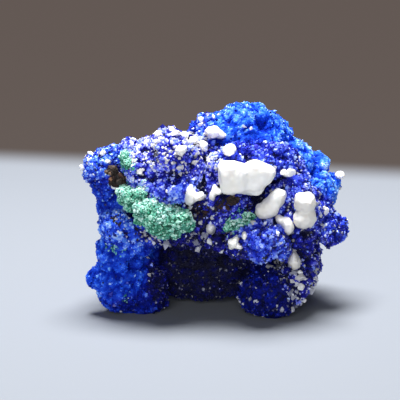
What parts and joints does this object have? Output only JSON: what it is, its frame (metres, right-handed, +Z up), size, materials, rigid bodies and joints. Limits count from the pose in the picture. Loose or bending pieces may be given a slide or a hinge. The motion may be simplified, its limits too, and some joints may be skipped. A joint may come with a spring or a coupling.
{
  "type": "azurite specimen",
  "caption": "Natural cluster of rounded, druse-covered deep blue azurite lobes with white nodules and green malachite crusts, standing on blunt feet as a display specimen.",
  "frame": {"origin": "on the surface that the specimen stands on, under the middle of its outline", "axes": "+Z up; +X to the specimen's right, along its length; -Y towards its best face"},
  "size_m": [0.04, 0.0294, 0.0306],
  "materials": {
    "azurite": "deep blue, covered in glittering micro-crystals, velvety in the hollows",
    "malachite": "pale to deep green, matt, knobbly crust",
    "white_mineral": "smooth, waxy, slightly translucent white",
    "limonite": "crumbly, matt, dark brown to rust"
  },
  "bodies": {
    "root": {"azurite_mass": "azurite", "white_nodule_large": "white_mineral", "white_nodule_finger": "white_mineral", "white_nodule_twin": "white_mineral", "white_nodule_crest": "white_mineral", "white_nodule_round": "white_mineral", "white_nodule_fork": "white_mineral", "white_nodule_tooth": "white_mineral", "white_nodule_chin": "white_mineral", "white_nodule_hook": "white_mineral", "white_nodule_shard": "white_mineral", "white_nodule_crown_left": "white_mineral", "white_nodule_crown_right": "white_mineral", "white_nodule_saddle": "white_mineral", "white_nodule_middle": "white_mineral", "white_nodule_right_tip": "white_mineral", "white_nodule_back_upper": "white_mineral", "white_nodule_back_lower": "white_mineral", "white_nodule_left_side": "white_mineral", "malachite_crust": "malachite", "malachite_tuft": "malachite", "malachite_back": "malachite", "malachite_fleck": "malachite", "limonite_left": "limonite", "limonite_middle": "limonite"}
  },
  "joints": []
}
